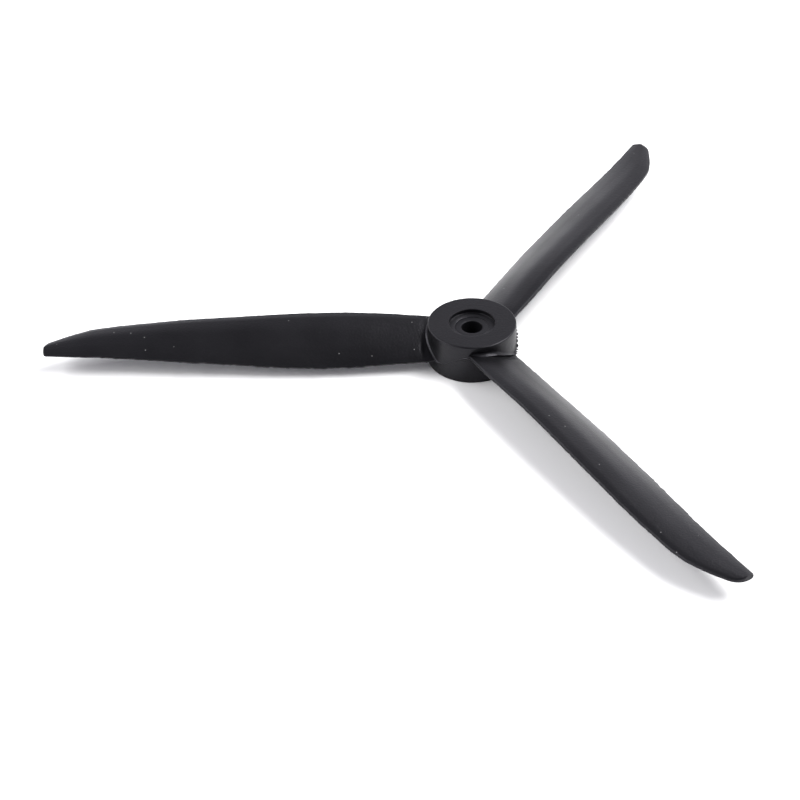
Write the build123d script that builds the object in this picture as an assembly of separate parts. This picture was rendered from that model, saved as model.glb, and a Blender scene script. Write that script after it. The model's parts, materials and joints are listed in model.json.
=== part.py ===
"""Three-blade fixed-pitch propeller for a radio-controlled model aircraft.

Millimetres. +Z is the axis of rotation and points out of the hub's front. The origin is on the
axis, in the plane of the hub's back face, and blade_1 points along -X. Seen from the front the
blades turn clockwise: each one's leading edge is its clockwise edge, and is the higher one.
"""
import os
from math import cos, radians, sin

from build123d import *

# The hub: a boss with a trace of draft, and a washer recess in its front face.
hub_height = 10.0
hub_back_radius = 10.55
hub_front_radius = 10.5
hub_rim_round = 0.3
hub_back_chamfer = 0.15
recess_radius = 5.5
recess_depth = 1.0

# The reducing bush: a sleeve that is pushed into the hub's bore and takes it down to the shaft.
bush_radius = 4.0
bush_clearance = 0.03
bush_set_back = 0.3
bush_rim_chamfer = 0.25
shaft_bore_radius = 2.5

# The blades.
tip_radius = 101.6
blade_count = 3
first_blade_angle = 180.0
blade_rise = 0.6
blade_belly = 0.45
leading_edge_thickness = 0.85
trailing_edge_thickness = 0.65
root_overlap = 2.0

# One row for each section: where it stands as a share of the tip radius, its chord, its pitch angle
# in degrees, how far the middle of its chord lies behind the blade's own axis, and how high its
# upper face is crowned above its chord.
root_section = (13.0, 18.0, 0.0, 1.0)
blade_sections = [
    (0.20, 14.5, 20.5, 0.0, 1.5),
    (0.35, 15.5, 22.5, 0.2, 1.7),
    (0.50, 14.8, 19.5, 0.0, 1.5),
    (0.65, 13.5, 14.0, -0.7, 1.3),
    (0.80, 11.7, 9.0, -0.9, 1.0),
    (0.90, 9.5, 4.5, -0.4, 0.8),
    (0.96, 7.0, 1.5, 0.8, 0.6),
    (1.0, 3.0, 0.0, 2.3, 0.4),
]

# The crown of a section along its chord: share of the chord from the leading edge, share of the
# full crown.
crown_shape = [(0.14, 0.66), (0.36, 1.0), (0.62, 0.78), (0.84, 0.42)]


def hub_outline_solid():
    """The hub as a solid boss, with neither bore nor recess."""
    boss = Solid.make_cone(hub_back_radius, hub_front_radius, hub_height)
    front_rim = boss.edges().filter_by(GeomType.CIRCLE).group_by(Axis.Z)[-1]
    boss = fillet(front_rim, hub_rim_round)
    back_rim = boss.edges().filter_by(GeomType.CIRCLE).group_by(Axis.Z)[0]
    return chamfer(back_rim, hub_back_chamfer)


def make_hub(boss):
    """The boss with its washer recess and the through bore that holds the bush."""
    recess_floor = hub_height - recess_depth
    recess = Pos(0, 0, recess_floor) * extrude(Circle(recess_radius), recess_depth)
    bore = extrude(Circle(bush_radius + bush_clearance), hub_height)
    return boss - recess - bore


def make_bush():
    """The reducing bush, flush with the hub's back and set back a little below the recess."""
    bush_length = hub_height - recess_depth - bush_set_back
    sleeve = extrude(Circle(bush_radius), bush_length)
    front_rim = sleeve.edges().group_by(Axis.Z)[-1]
    sleeve = chamfer(front_rim, bush_rim_chamfer)
    return sleeve - extrude(Circle(shaft_bore_radius), bush_length)


def blade_section(station, chord, pitch, sweep, crown):
    """One closed section, square to a blade that lies along +X."""
    blade_height = hub_height / 2 + blade_rise
    along_y = cos(radians(pitch))
    along_z = sin(radians(pitch))

    def place(share, lift):
        """A point at this share of the chord, lifted this far square to the chord."""
        run = (share - 0.5) * chord
        y = sweep + run * along_y + lift * along_z
        z = blade_height - run * along_z + lift * along_y
        return (station, y, z)

    nose = leading_edge_thickness / 2
    tail = trailing_edge_thickness / 2
    upper = [place(0, nose)]
    for share, height in crown_shape:
        upper.append(place(share, tail + height * crown))
    upper.append(place(1, tail))
    lower = [place(1, -tail), place(0.5, -blade_belly), place(0, -nose)]
    edges = [
        Spline(*upper),
        Line(upper[-1], lower[0]),
        Spline(*lower),
        Line(lower[-1], upper[0]),
    ]
    return Face(Wire(edges))


def make_blade(boss):
    """One blade along +X, cut back to the hub's wall."""
    chord, pitch, sweep, crown = root_section
    faces = [blade_section(hub_back_radius - root_overlap, chord, pitch, sweep, crown)]
    for share, chord, pitch, sweep, crown in blade_sections:
        faces.append(blade_section(share * tip_radius, chord, pitch, sweep, crown))
    return loft(faces) - boss


os.makedirs("parts", exist_ok=True)
hub_boss = hub_outline_solid()
export_step(make_hub(hub_boss), "parts/hub.step")
export_step(make_bush(), "parts/shaft_bush.step")
blade = make_blade(hub_boss)
for number in range(blade_count):
    angle = first_blade_angle - number * 360 / blade_count
    export_step(Rot(0, 0, angle) * blade, f"parts/blade_{number + 1}.step")
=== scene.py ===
import json
from math import cos, exp, pi, radians, sin

import bpy
import numpy as np
from mathutils import Matrix, Vector


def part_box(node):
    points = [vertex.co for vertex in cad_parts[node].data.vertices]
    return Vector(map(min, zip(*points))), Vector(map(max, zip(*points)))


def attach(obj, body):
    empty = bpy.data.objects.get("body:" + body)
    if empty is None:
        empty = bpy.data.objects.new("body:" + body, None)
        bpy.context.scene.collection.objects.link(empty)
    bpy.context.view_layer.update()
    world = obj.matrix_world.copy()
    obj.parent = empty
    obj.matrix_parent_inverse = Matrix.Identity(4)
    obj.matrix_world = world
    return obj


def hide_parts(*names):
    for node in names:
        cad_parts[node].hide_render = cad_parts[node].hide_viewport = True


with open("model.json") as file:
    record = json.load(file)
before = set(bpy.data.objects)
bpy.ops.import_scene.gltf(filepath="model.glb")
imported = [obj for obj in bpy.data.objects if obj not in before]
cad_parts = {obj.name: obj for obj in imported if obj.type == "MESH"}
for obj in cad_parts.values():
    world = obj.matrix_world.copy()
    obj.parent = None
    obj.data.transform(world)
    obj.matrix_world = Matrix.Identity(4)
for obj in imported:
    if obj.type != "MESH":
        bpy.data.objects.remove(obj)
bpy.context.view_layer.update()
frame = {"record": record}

MM = 0.001
rng = np.random.default_rng(7)

# ---------------------------------------------------------------- sizes, in millimetres
hub_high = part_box("hub")[1].z / MM
bush_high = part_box("shaft_bush")[1].z / MM
bush_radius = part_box("shaft_bush")[1].x / MM
tip_radius = -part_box("blade_1")[0].x / MM
shaft_radius = frame["record"]["mounts"][0]["dims"]["r_mm"]

hub_top_radius = 10.5
hub_low_radius = 10.55
hub_rim_round = 0.32
hub_foot_chamfer = 0.15
hub_draft = 0.02
bush_clearance = 0.03
bore_foot_chamfer = 0.15
recess_radius = 5.5
recess_deep = 1.0
recess_rim_round = 0.06
recess_foot_round = 0.12
recess_dip = 0.22
lip_thick = 0.36
first_blade_angle = 180.0

nose_thick = 0.85
tail_thick = 0.65
belly = 0.45
crisp_radius = 0.14
nick_reach = 0.4

# ---------------------------------------------------------------- smooth curves through a few points


def curve(xs, ys, x):
    """A monotone-safe cubic through the points (xs, ys), read at x."""
    xs = np.asarray(xs, float)
    ys = np.asarray(ys, float)
    step = np.diff(xs)
    slope = np.diff(ys) / step
    tangent = np.zeros(len(xs))
    tangent[0] = slope[0]
    tangent[-1] = slope[-1]
    for i in range(1, len(xs) - 1):
        if slope[i - 1] * slope[i] > 0:
            w1 = 2 * step[i] + step[i - 1]
            w2 = step[i] + 2 * step[i - 1]
            tangent[i] = (w1 + w2) / (w1 / slope[i - 1] + w2 / slope[i])
    x = np.clip(x, xs[0], xs[-1])
    i = np.clip(np.searchsorted(xs, x) - 1, 0, len(step) - 1)
    h = step[i]
    t = (x - xs[i]) / h
    return (ys[i] * (1 + 2 * t) * (1 - t) ** 2 + ys[i + 1] * t * t * (3 - 2 * t)
            + h * (tangent[i] * t * (1 - t) ** 2 - tangent[i + 1] * t * t * (1 - t)))


def wander(count, span, spacing, closed=False):
    """Smooth noise at count places along span, with this spacing between its knots."""
    knots = max(4, int(round(span / spacing)))
    values = rng.normal(0, 0.5, knots + 1)
    if closed:
        values[-1] = values[0]
    return curve(np.linspace(0, 1, knots + 1), values, np.linspace(0, 1, count, endpoint=not closed))


# ---------------------------------------------------------------- meshes


def skin(name, grid, close_rows=False, cap_ends=False):
    """A mesh from a grid of points in millimetres: rows by columns, each row a closed ring."""
    rows, columns, _ = grid.shape
    points = (grid.reshape(-1, 3) * MM).tolist()
    faces = []
    last = rows if close_rows else rows - 1
    for i in range(last):
        a = i * columns
        b = ((i + 1) % rows) * columns
        for j in range(columns):
            k = (j + 1) % columns
            faces.append((a + j, a + k, b + k, b + j))
    if cap_ends:
        for first, flip in ((0, True), ((rows - 1) * columns, False)):
            ring = list(range(first, first + columns))
            faces.append(tuple(reversed(ring)) if flip else tuple(ring))
    mesh = bpy.data.meshes.new(name)
    mesh.from_pydata(points, [], faces)
    mesh.validate()
    mesh.update()
    # the flat end caps come last, and are the only faces with a hard edge
    caps = 2 if cap_ends else 0
    mesh.polygons.foreach_set("use_smooth", [True] * (len(mesh.polygons) - caps) + [False] * caps)
    piece = bpy.data.objects.new(name, mesh)
    bpy.context.scene.collection.objects.link(piece)
    return piece


def turned(profile, columns):
    """A closed profile of (radius, height) points turned round the axis."""
    angles = np.linspace(0, 2 * pi, columns, endpoint=False)
    grid = np.zeros((len(profile), columns, 3))
    for i, (radius, height) in enumerate(profile):
        grid[i, :, 0] = radius * np.cos(angles)
        grid[i, :, 1] = radius * np.sin(angles)
        grid[i, :, 2] = height
    return grid


# ---------------------------------------------------------------- the hub


def corner(cx, cz, radius, start, end, steps=5):
    """Points of an arc about (cx, cz), from start to end degrees."""
    angles = np.radians(np.linspace(start, end, steps))
    return [(cx + radius * cos(a), cz + radius * sin(a)) for a in angles]


def past_blade(degrees):
    """How far each angle lies past the middle of the nearest blade, from -60 to 60 degrees."""
    return (degrees - first_blade_angle + 60) % 120 - 60


def parting_height(turn):
    """Height of the mould's parting line on the hub's wall, this far past a blade."""
    turns = [-60, -50, -38, -27, -15, -2, 13, 22, 30, 38, 47, 60]
    heights = [5.4, 6.5, 7.2, 7.6, 7.6, 7.3, 6.1, 5.25, 4.35, 3.6, 3.7, 5.4]
    return curve(turns, heights, turn)


def lip_reach(turn):
    """How far the lip stands out of the wall: most over each blade's leading half."""
    turns = [-60, -46, -36, -26, -12, 8, 24, 38, 46, 60]
    reaches = [0.03, 0.1, 0.4, 0.5, 0.52, 0.5, 0.45, 0.35, 0.12, 0.03]
    return curve(turns, reaches, turn)


def parting_flash(degrees, turn):
    """Flash on the lip between the blades: coarse teeth on the +X side, a fine roughness elsewhere."""
    columns = len(degrees)
    between = np.clip((np.abs(turn + 2) - 24) / 10, 0, 1)
    beat = degrees / 4.4 + 0.22 * wander(columns, 360, 6, closed=True)
    teeth = np.abs(np.cos(pi * beat)) ** 0.7 * (0.5 + 0.2 * wander(columns, 360, 4, closed=True))
    ragged = np.exp(-((((degrees + 2 + 180) % 360 - 180) / 30) ** 6))
    rough = 0.01 + 0.015 * wander(columns, 360, 1.2, closed=True)
    return (teeth * ragged + rough * (1 - ragged)) * (0.2 + 0.8 * between)


def make_hub():
    """The boss: lower wall, ragged parting lip, drafted upper wall, rim, washer recess and bore."""
    degrees = np.linspace(0, 360, 1440, endpoint=False)
    angles = np.radians(degrees)
    turn = past_blade(degrees)
    lip_z = parting_height(turn)
    lip_out = lip_reach(turn)
    cove_high = curve([-60, -36, -24, -8, 10, 60], [0.3, 0.4, 1.0, 1.0, 0.5, 0.3], turn)
    cove_deep = curve([-60, -38, -28, -10, 4, 60], [0.0, 0.0, 0.25, 0.25, 0.0, 0.0], turn)
    flash = parting_flash(degrees, turn)
    lip_radius = hub_low_radius + lip_out
    low_z = lip_z - lip_thick

    rings = []

    def ring(radius, height):
        full_radius = np.broadcast_to(np.asarray(radius, float), angles.shape)
        full_height = np.broadcast_to(np.asarray(height, float), angles.shape)
        x = full_radius * np.cos(angles)
        y = full_radius * np.sin(angles)
        rings.append(np.stack([x, y, full_height], 1))

    bore = bush_radius + bush_clearance
    bore_foot = bore + bore_foot_chamfer
    foot = hub_low_radius - hub_foot_chamfer
    floor_z = hub_high - recess_deep
    ring(bore, bore_foot_chamfer)
    ring(bore_foot, 0.0)
    for share in (0.35, 0.7):
        ring(bore_foot + share * (foot - bore_foot), 0.0)
    for radius, height in corner(foot, hub_foot_chamfer, hub_foot_chamfer, -90, 0):
        ring(radius, height)
    for share in np.linspace(0.15, 1.0, 8):
        ring(hub_low_radius, hub_foot_chamfer + share * (low_z - 0.12 - hub_foot_chamfer))
    # the underside of the lip, its rounded bead with the flash along it, and its top
    ring(hub_low_radius + 0.04, low_z - 0.02)
    ring(hub_low_radius + 0.5 * lip_out, low_z)
    bead = np.minimum(0.08, lip_out)
    for slant in (-70, -45, -20, 0, 20, 45, 70):
        out = (lip_out - bead) + bead * cos(radians(slant)) + flash * max(0.0, cos(radians(2 * slant)))
        ring(hub_low_radius + out, lip_z - bead + bead * sin(radians(slant)))
    # the cove above the lip runs out into the drafted wall
    upper = hub_high - hub_rim_round - lip_z
    for share in (0.02, 0.05, 0.09, 0.14, 0.2, 0.28, 0.38, 0.5, 0.64, 0.8, 1.0):
        draft = hub_top_radius + hub_draft * (1 - share) * upper
        rise = share * upper
        cove = np.clip(lip_radius - 0.07 - draft, 0, None) * np.clip(1 - rise / cove_high, 0, 1) ** 2.2
        hollow = cove_deep * np.exp(-(((rise - 0.5) / 0.45) ** 2))
        ring(draft + cove - hollow, lip_z + rise)
    rim = hub_top_radius - hub_rim_round
    recess_rim = recess_radius + recess_rim_round
    for radius, height in corner(rim, hub_high - hub_rim_round, hub_rim_round, 18, 90):
        ring(radius, height)
    for share in (0.04, 0.3, 0.6, 0.92):
        ring(rim + share * (recess_rim - rim), hub_high)
    for radius, height in corner(recess_rim, hub_high - recess_rim_round, recess_rim_round, 90, 180):
        ring(radius, height)
    recess_foot = recess_radius - recess_foot_round
    for radius, height in corner(recess_foot, floor_z + recess_foot_round, recess_foot_round, 0, -90):
        ring(radius, height)
    # the floor of the recess dips gently to the bush
    for out, drop in ((1.1, 0.0), (0.5, 0.08), (0.15, 0.17), (0.02, 0.2), (0.0, recess_dip)):
        ring(bore + out, floor_z - drop)
    bore_high = floor_z - recess_dip
    for share in (0.33, 0.66):
        ring(bore, bore_high - share * (bore_high - bore_foot_chamfer))
    return skin("hub_moulding", np.array(rings), close_rows=True)


# ---------------------------------------------------------------- the reducing bush


def make_bush():
    """The sleeve in the hub's bore, with a small chamfer round each rim."""
    inner = shaft_radius
    profile = [(inner, 0.2), (inner + 0.2, 0.0), (bush_radius - 0.25, 0.0), (bush_radius, 0.25)]
    profile += [(bush_radius, bush_high * share) for share in (0.3, 0.6, 0.85)]
    profile += corner(bush_radius - 0.06, bush_high - 0.06, 0.06, 0, 90)
    profile += [(inner + 0.6, bush_high)]
    profile += corner(inner + 0.15, bush_high - 0.15, 0.15, 90, 180)
    profile += [(inner, bush_high * share) for share in (0.8, 0.5, 0.25)]
    return skin("reducing_bush", turned(profile, 256), close_rows=True)


# ---------------------------------------------------------------- the blades

# curves along a blade: the distances from the axis, and the value at each
lead_y = ((8.6, 22, 66, 84, 90, 94, 101.6), (-6.3, -6.9, -7.2, -6.5, -5.7, -4.3, -0.4))
lead_z = ((8.6, 33, 62, 88, 101.6), (7.4, 8.6, 7.5, 6.0, 5.5))
trail_y = ((8.6, 37, 62, 90, 101.6), (6.3, 7.3, 6.1, 4.3, 4.05))
trail_z = ((8.6, 33, 62, 88, 101.6), (3.4, 2.6, 3.8, 5.0, 5.6))
crown_high = ((8.6, 33, 62, 90, 101.6), (0.9, 1.7, 1.3, 0.8, 0.5))
root_station = 8.6

# each blade: its angle, how far its outer half is set over, and how its worn tip is rounded off:
# towards which y, and over what length at the leading edge
blades = ((180.0, 0.0, 2.2, 1.6), (60.0, -0.3, 2.0, 2.0), (-60.0, 0.0, 3.1, 2.6))
tip_trail_round = 1.0


def tip_round(stations, length):
    """Share of its width that a blade keeps towards its tip: a full, rounded corner of this length."""
    reach = np.clip((stations - tip_radius + length) / length, 0, 1)
    return np.cbrt(1 - (0.97 * reach) ** 3)


def blade_ring(station, lead, lead_z, trail, trail_z, crown, nose_nick, tail_nick, samples):
    """One closed section of a blade along +X: over the crown from nose to tail, and back underneath."""
    slope = np.arctan2(lead_z - trail_z, trail - lead)
    chord = np.hypot(lead_z - trail_z, trail - lead)
    share = 0.5 - 0.5 * np.cos(np.linspace(0, pi, samples))
    rise = curve((0, 0.14, 0.4, 0.64, 0.85, 1), (0, 0.58, 1.0, 0.84, 0.45, 0), share)
    half = nose_thick / 2 + share * (tail_thick - nose_thick) / 2
    # both ends are rounded below over half their thickness, and have a crisp edge above
    inset = np.minimum(share, 1 - share) * chord
    rounding, crisp = [
        np.sqrt(1 - (1 - np.clip(inset / radius, 0, 1)) ** 2) for radius in (half, crisp_radius)]
    # the upper face is low where it meets the hub, most of all towards its tail
    near_hub = exp(-((max(station - 11.0, 0) / 1.2) ** 2))
    dip = 0.1 * np.exp(-(((share - 0.25) / 0.18) ** 2)) + 0.35 * np.exp(-(((share - 0.75) / 0.17) ** 2))
    upper = half * crisp + crown * rise - near_hub * dip * crisp
    lower = -(half + (belly - half) * np.sin(pi * share)) * rounding
    along = np.concatenate([share, share[-2:0:-1]])
    lift = np.concatenate([upper, lower[-2:0:-1]])
    run = (along - 0.5) * chord
    run = run + nose_nick * np.exp(-along * chord / nick_reach)
    run = run + tail_nick * np.exp(-(1 - along) * chord / nick_reach)
    y = (lead + trail) / 2 + run * cos(slope) + lift * sin(slope)
    z = (lead_z + trail_z) / 2 - run * sin(slope) + lift * cos(slope)
    return np.stack([np.full_like(y, station), y, z], 1)


def make_blade(name, angle, tip_sweep, tip_middle, tip_lead_round):
    """One blade: sections along its length, ragged edges, swung to its place round the hub."""
    samples = 48
    long = tip_radius - root_station
    inner = np.linspace(0, 0.95 * long, 300, endpoint=False)
    ends = long * (1 - np.geomspace(1, 0.002, 60) * 0.05)
    stations = root_station + np.concatenate([inner, ends, [long]])
    lead, lead_high, trail, trail_high, crown = [
        curve(*points, stations) for points in (lead_y, lead_z, trail_y, trail_z, crown_high)]
    lead = tip_middle + (lead - tip_middle) * tip_round(stations, tip_lead_round)
    trail = tip_middle + (trail - tip_middle) * tip_round(stations, tip_trail_round)
    over = tip_sweep * np.clip(stations / tip_radius * 2 - 1, 0, 1) ** 2
    lead = lead + over
    trail = trail + over
    calm = np.clip((tip_radius - 3 - stations) / 8, 0, 1)
    count = len(stations)
    nicks = [
        calm * (depth * wander(count, long, 2.2) + 1.3 * depth * wander(count, long, 0.7))
        for depth in (0.05, 0.09)]
    rows = zip(stations, lead, lead_high, trail, trail_high, crown, *nicks)
    rings = [blade_ring(*row, samples) for row in rows]
    piece = skin(name, np.array(rings), cap_ends=True)
    piece.data.transform(Matrix.Rotation(radians(angle), 4, "Z"))
    return piece


# ---------------------------------------------------------------- materials


def nylon(name, grey, rough, dust):
    """Black moulded nylon: fine grain, uneven sheen, and a few pale specks of dust."""
    material = bpy.data.materials.new(name)
    material.use_nodes = True
    nodes = material.node_tree.nodes
    link = material.node_tree.links.new
    shader = nodes["Principled BSDF"]
    shader.inputs["IOR"].default_value = 1.5
    shader.inputs["Specular IOR Level"].default_value = 0.25
    shader.inputs["Specular Tint"].default_value = (0.92, 0.9, 1.0, 1)
    place = nodes.new("ShaderNodeTexCoord").outputs["Object"]

    def noise(scale, detail):
        node = nodes.new("ShaderNodeTexNoise")
        node.inputs["Scale"].default_value = scale
        node.inputs["Detail"].default_value = detail
        link(place, node.inputs["Vector"])
        return node.outputs["Fac"]

    def ramp(source, low, high, first, second):
        node = nodes.new("ShaderNodeValToRGB")
        node.color_ramp.elements[0].position = low
        node.color_ramp.elements[1].position = high
        node.color_ramp.elements[0].color = first
        node.color_ramp.elements[1].color = second
        link(source, node.inputs["Fac"])
        return node.outputs["Color"]

    dark = (grey * 0.8, grey * 0.8, grey * 0.95, 1)
    light = (grey * 1.25, grey * 1.25, grey * 1.5, 1)
    base = ramp(noise(180, 6), 0.3, 0.7, dark, light)
    if dust:
        cells = nodes.new("ShaderNodeTexVoronoi")
        cells.inputs["Scale"].default_value = 260
        link(place, cells.inputs["Vector"])
        blend = nodes.new("ShaderNodeMix")
        blend.data_type = "RGBA"
        speck = ramp(cells.outputs["Distance"], 0.025, 0.045, (1, 1, 1, 1), (0, 0, 0, 1))
        link(speck, blend.inputs["Factor"])
        link(base, blend.inputs["A"])
        blend.inputs["B"].default_value = (0.15, 0.15, 0.15, 1)
        base = blend.outputs["Result"]
    link(base, shader.inputs["Base Color"])
    sheen = ramp(noise(60, 4), 0.3, 0.7, (rough - 0.04,) * 3 + (1,), (rough + 0.05,) * 3 + (1,))
    link(sheen, shader.inputs["Roughness"])
    bump = nodes.new("ShaderNodeBump")
    bump.inputs["Strength"].default_value = 0.9
    bump.inputs["Distance"].default_value = 0.05 * MM
    link(noise(2000, 3), bump.inputs["Height"])
    link(bump.outputs["Normal"], shader.inputs["Normal"])
    return material


def dress(piece, body, node, material):
    """Everything that a finished piece needs to take its place on the frame."""
    piece.data.materials.append(material)
    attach(piece, body)
    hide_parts(node)


# ---------------------------------------------------------------- light, floor and camera


def paint(name, colour, roughness):
    material = bpy.data.materials.new(name)
    material.use_nodes = True
    shader = material.node_tree.nodes["Principled BSDF"]
    shader.inputs["Base Color"].default_value = colour
    shader.inputs["Roughness"].default_value = roughness
    return material


def make_floor():
    """A plain white floor just under the hub."""
    reach = 3.0
    corners = [(-reach, -reach, 0), (reach, -reach, 0), (reach, reach, 0), (-reach, reach, 0)]
    mesh = bpy.data.meshes.new("floor")
    mesh.from_pydata(corners, [], [(0, 1, 2, 3)])
    floor = bpy.data.objects.new("floor", mesh)
    floor.location.z = -0.02 * MM
    bpy.context.scene.collection.objects.link(floor)
    floor.data.materials.append(paint("white_card", (0.9, 0.9, 0.9, 1), 0.9))


def area_light(name, place, size, power):
    """A soft box aimed at the propeller."""
    light = bpy.data.lights.new(name, "AREA")
    light.shape = "RECTANGLE"
    light.size = size[0]
    light.size_y = size[1]
    light.energy = power
    lamp = bpy.data.objects.new(name, light)
    lamp.location = place
    lamp.rotation_euler = (-Vector(place)).to_track_quat("-Z", "Y").to_euler()
    bpy.context.scene.collection.objects.link(lamp)


def make_room():
    """Bright walls low down and a darker ceiling, with the soft boxes."""
    world = bpy.data.worlds.new("room")
    bpy.context.scene.world = world
    world.use_nodes = True
    nodes = world.node_tree.nodes
    link = world.node_tree.links.new
    split = nodes.new("ShaderNodeSeparateXYZ")
    link(nodes.new("ShaderNodeTexCoord").outputs["Generated"], split.inputs["Vector"])
    ramp = nodes.new("ShaderNodeValToRGB")
    stops = ramp.color_ramp.elements
    stops[0].position = 0.0
    stops[0].color = (1.0, 1.0, 1.0, 1)
    stops[1].position = 0.94
    stops[1].color = (0.13, 0.128, 0.141, 1)
    for height, bright in ((0.12, 0.48), (0.36, 0.3), (0.64, 0.21)):
        stops.new(height).color = (bright, bright * 0.985, bright * 1.08, 1)
    link(split.outputs["Z"], ramp.inputs["Fac"])
    # the camera's side of the room is the darker one
    side = nodes.new("ShaderNodeMapRange")
    side.inputs["From Min"].default_value = -0.6
    side.inputs["From Max"].default_value = 0.2
    side.inputs["To Min"].default_value = 0.25
    link(split.outputs["Y"], side.inputs["Value"])
    shade = nodes.new("ShaderNodeVectorMath")
    shade.operation = "SCALE"
    link(ramp.outputs["Color"], shade.inputs["Vector"])
    link(side.outputs["Result"], shade.inputs["Scale"])
    link(shade.outputs["Vector"], nodes["Background"].inputs["Color"])
    nodes["Background"].inputs["Strength"].default_value = 2.75
    area_light("left_box", (-0.763, -0.067, 0.643), (1.3, 0.36), 10)
    area_light("right_box", (0.565, 0.1, 0.819), (1.0, 0.4), 17.5)


def make_camera():
    """The camera stands off in front and above, turned a little about its own line of sight."""
    stand = Vector((-15.81, -389.7, 280.7)) * MM
    elevation = radians(36.96)
    heading = radians(0.235)
    roll = radians(-1.28)
    turn = Matrix.Rotation(heading, 4, "Z") @ Matrix.Rotation(pi / 2 - elevation, 4, "X")
    turn = turn @ Matrix.Rotation(roll, 4, "Z")
    lens = bpy.data.cameras.new("camera")
    lens.sensor_width = 36
    lens.lens = 90.28
    lens.clip_start = 0.01
    camera = bpy.data.objects.new("camera", lens)
    camera.matrix_world = Matrix.Translation(stand) @ turn
    bpy.context.scene.collection.objects.link(camera)
    bpy.context.scene.camera = camera


make_camera()
make_floor()
make_room()
blade_nylon = nylon("blade_nylon", 0.0025, 0.36, True)
bush_nylon = nylon("bush_nylon", 0.004, 0.46, False)
dress(make_hub(), "propeller", "hub", blade_nylon)
dress(make_bush(), "bush", "shaft_bush", bush_nylon)
for number, shape in enumerate(blades, 1):
    blade = make_blade(f"moulded_blade_{number}", *shape)
    dress(blade, "propeller", f"blade_{number}", blade_nylon)

bpy.context.scene.view_settings.view_transform = "Standard"
